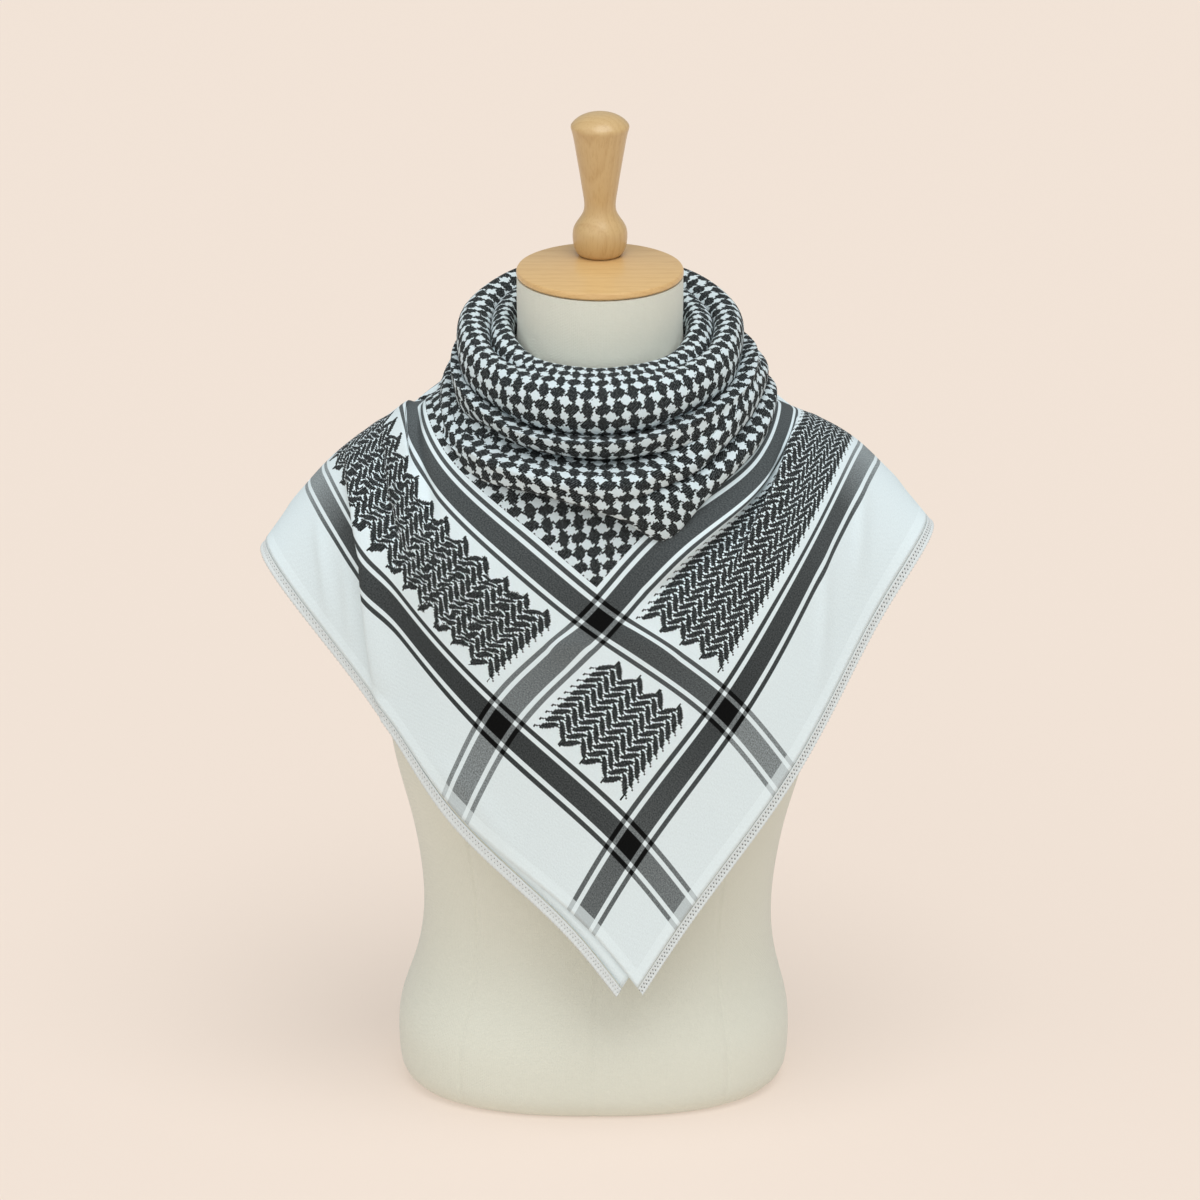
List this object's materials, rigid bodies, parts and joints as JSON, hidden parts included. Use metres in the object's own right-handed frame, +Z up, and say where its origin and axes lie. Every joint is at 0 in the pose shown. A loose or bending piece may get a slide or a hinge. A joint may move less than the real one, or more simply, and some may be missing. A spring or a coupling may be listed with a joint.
{
  "type": "shawl on a dress form",
  "caption": "Square checked cotton shawl, folded corner to corner and wound round the neck of a limbless tabletop dress form with a turned wooden top.",
  "frame": {"origin": "middle of the dress form's flat base, on the surface that it stands on", "axes": "+Z up, -Y out of the form's chest, +X to the wearer's left (the viewer's right)"},
  "size_m": [0.4694, 0.2668, 0.6999],
  "materials": {
    "cotton": "woven cotton twill, soft, slight sheen",
    "edging": "worked cotton thread",
    "linen": "fine plain linen over a padded form",
    "cap_wood": "satin lacquer",
    "handle_wood": "satin lacquer"
  },
  "bodies": {
    "root": {"shawl_upper_layer": "cotton", "shawl_under_layer": "cotton", "shawl_cowl": "cotton", "edging_upper": "edging", "edging_under": "edging", "form_body": "linen", "form_neck_cap": "cap_wood", "form_handle": "handle_wood"}
  },
  "joints": []
}
